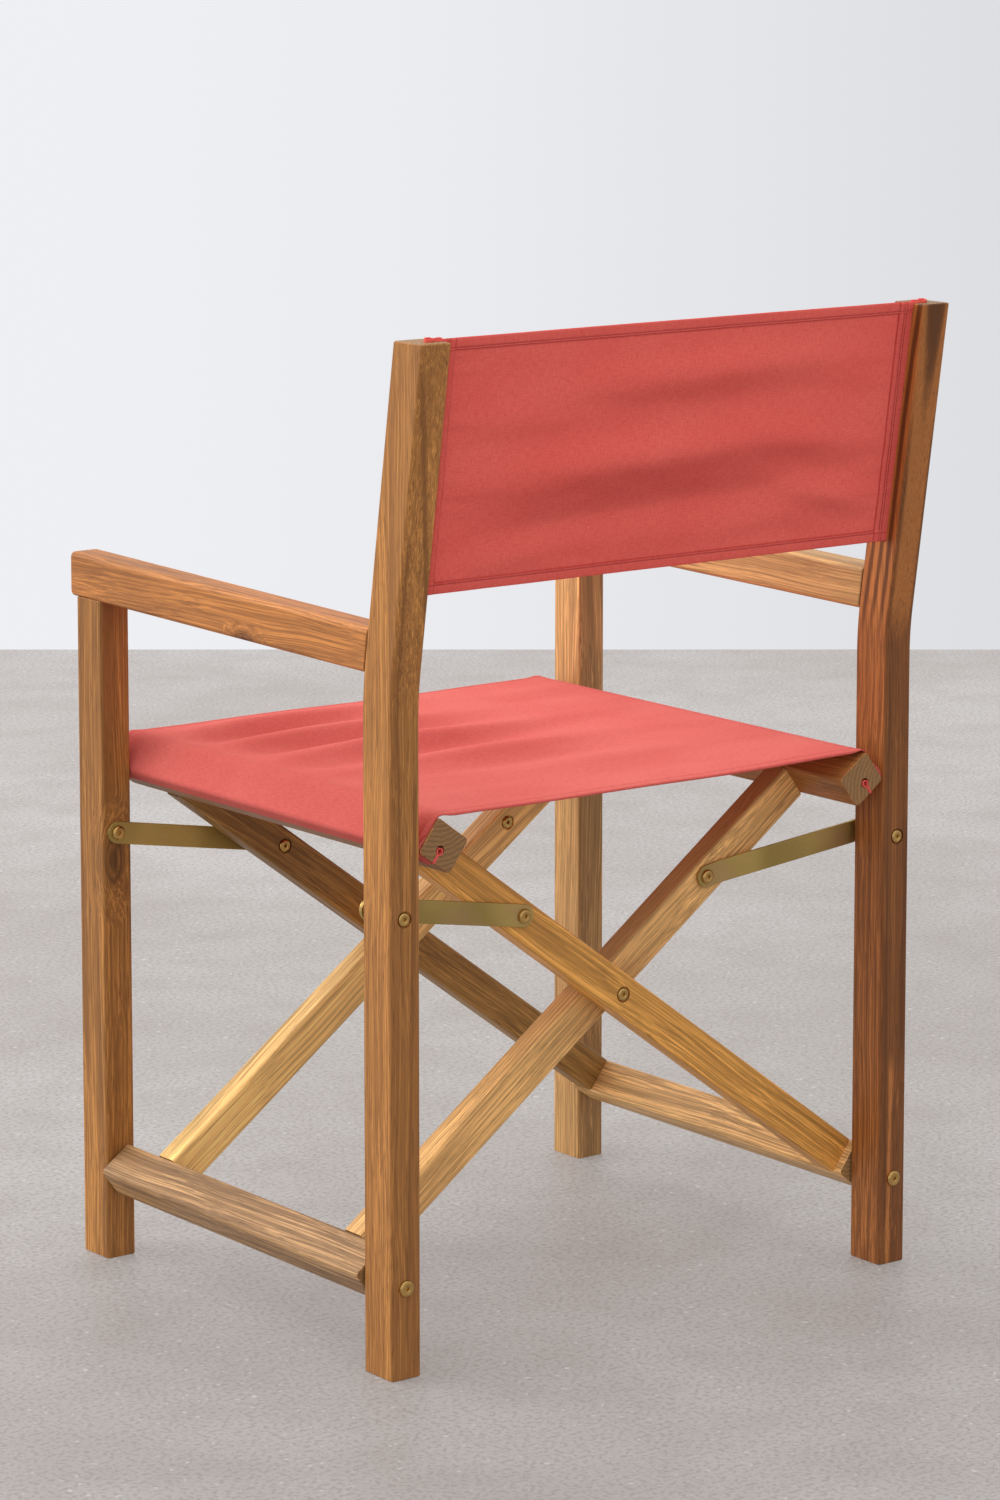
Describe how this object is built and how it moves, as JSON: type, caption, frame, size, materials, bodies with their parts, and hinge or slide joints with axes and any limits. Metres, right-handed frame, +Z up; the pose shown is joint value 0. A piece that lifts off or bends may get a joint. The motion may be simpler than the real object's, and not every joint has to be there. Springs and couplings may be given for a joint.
{
  "type": "director chair",
  "caption": "Folding timber director chair with flat armrests, crossed legs under a sling seat, steel stay links and a sling back of red canvas.",
  "frame": {"origin": "centre of the bounding box on the floor, between the feet", "axes": "+Z up, the sitter faces -Y, +X is the sitter's left"},
  "size_m": [0.5824, 0.5322, 0.8746],
  "materials": {
    "post_wood": "oiled acacia, dark streaks",
    "armrest_wood": "oiled acacia, orange brown",
    "light_leg_wood": "oiled acacia sapwood, golden",
    "leg_wood": "oiled acacia",
    "rail_wood": "oiled acacia",
    "dowel_wood": "plain beech",
    "canvas": "coral red woven canvas",
    "link_zinc": "yellow-passivated zinc, dull",
    "bolt_zinc": "yellow-passivated zinc"
  },
  "bodies": {
    "left_side": {"left_rear_post": "post_wood", "left_front_leg": "post_wood", "left_armrest": "armrest_wood", "left_armrest_dowels": "dowel_wood", "left_rail_bolts": "bolt_zinc", "left_rail_washers": "bolt_zinc", "left_link_bolts": "bolt_zinc", "left_link_nuts": "bolt_zinc", "left_link_spacer": "bolt_zinc", "back_canvas": "canvas", "left_back_rod": "dowel_wood"},
    "inner_frame": {"left_bottom_rail": "rail_wood", "rear_inner_leg": "leg_wood", "front_inner_leg": "leg_wood", "right_seat_rail": "rail_wood", "inner_frame_dowels": "dowel_wood", "left_rail_inserts": "bolt_zinc", "inner_sleeve_nut": "bolt_zinc", "inner_leg_bolt": "bolt_zinc", "right_seat_rod": "dowel_wood"},
    "outer_frame": {"right_bottom_rail": "rail_wood", "rear_outer_leg": "light_leg_wood", "front_outer_leg": "leg_wood", "left_seat_rail": "rail_wood", "outer_frame_dowels": "dowel_wood", "right_rail_inserts": "bolt_zinc", "outer_sleeve_nut": "bolt_zinc", "outer_leg_bolt": "bolt_zinc", "left_seat_rod": "dowel_wood", "rear_cross_bolt": "bolt_zinc", "front_cross_bolt": "bolt_zinc", "cross_nuts": "bolt_zinc", "cross_spacers": "bolt_zinc", "seat_canvas": "canvas"},
    "right_side": {"right_rear_post": "post_wood", "right_front_leg": "post_wood", "right_armrest": "armrest_wood", "right_armrest_dowels": "dowel_wood", "right_rail_bolts": "bolt_zinc", "right_rail_washers": "bolt_zinc", "right_link_bolts": "bolt_zinc", "right_link_nuts": "bolt_zinc", "right_link_spacer": "bolt_zinc", "right_back_rod": "dowel_wood"},
    "left_rear_link_bar": {"left_rear_link": "link_zinc", "left_rear_link_bolt": "bolt_zinc"},
    "left_front_link_bar": {"left_front_link": "link_zinc", "left_front_link_nut": "bolt_zinc"},
    "right_rear_link_bar": {"right_rear_link": "link_zinc", "right_rear_link_bolt": "bolt_zinc"},
    "right_front_link_bar": {"right_front_link": "link_zinc", "right_front_link_nut": "bolt_zinc"}
  },
  "joints": [
    {"name": "fold", "type": "hinge", "parent": "left_side", "child": "inner_frame", "pos_m": [0.2705, 0, 0.0784], "axis": [0, 1, 0], "range_deg": [0, 33], "deforming": ["back_canvas"]},
    {"name": "cross_pivot", "type": "hinge", "parent": "inner_frame", "child": "outer_frame", "pos_m": [0, 0, 0.27783], "axis": [0, 1, 0], "range_deg": [-71.25, 0], "deforming": ["seat_canvas"]},
    {"name": "right_rail_pivot", "type": "hinge", "parent": "outer_frame", "child": "right_side", "pos_m": [-0.2705, 0, 0.0784], "axis": [0, 1, 0], "range_deg": [0, 33]},
    {"name": "left_rear_link_pivot", "type": "hinge", "parent": "left_side", "child": "left_rear_link_bar", "pos_m": [0.271, 0, 0.391], "axis": [0, 1, 0], "range_deg": [0, 68.4]},
    {"name": "left_front_link_pivot", "type": "hinge", "parent": "left_side", "child": "left_front_link_bar", "pos_m": [0.271, 0, 0.391], "axis": [0, 1, 0], "range_deg": [0, 68.4]},
    {"name": "right_rear_link_pivot", "type": "hinge", "parent": "right_side", "child": "right_rear_link_bar", "pos_m": [-0.271, 0, 0.391], "axis": [0, 1, 0], "range_deg": [-68.4, 0]},
    {"name": "right_front_link_pivot", "type": "hinge", "parent": "right_side", "child": "right_front_link_bar", "pos_m": [-0.271, 0, 0.391], "axis": [0, 1, 0], "range_deg": [-68.4, 0]}
  ],
  "couplings": [
    {"joint": "cross_pivot", "follows": "fold", "ratio": -2.1589},
    {"joint": "right_rail_pivot", "follows": "fold", "ratio": 1},
    {"joint": "left_rear_link_pivot", "follows": "fold", "ratio": 2.0724},
    {"joint": "left_front_link_pivot", "follows": "fold", "ratio": 2.0724},
    {"joint": "right_rear_link_pivot", "follows": "fold", "ratio": -2.0724},
    {"joint": "right_front_link_pivot", "follows": "fold", "ratio": -2.0724}
  ]
}
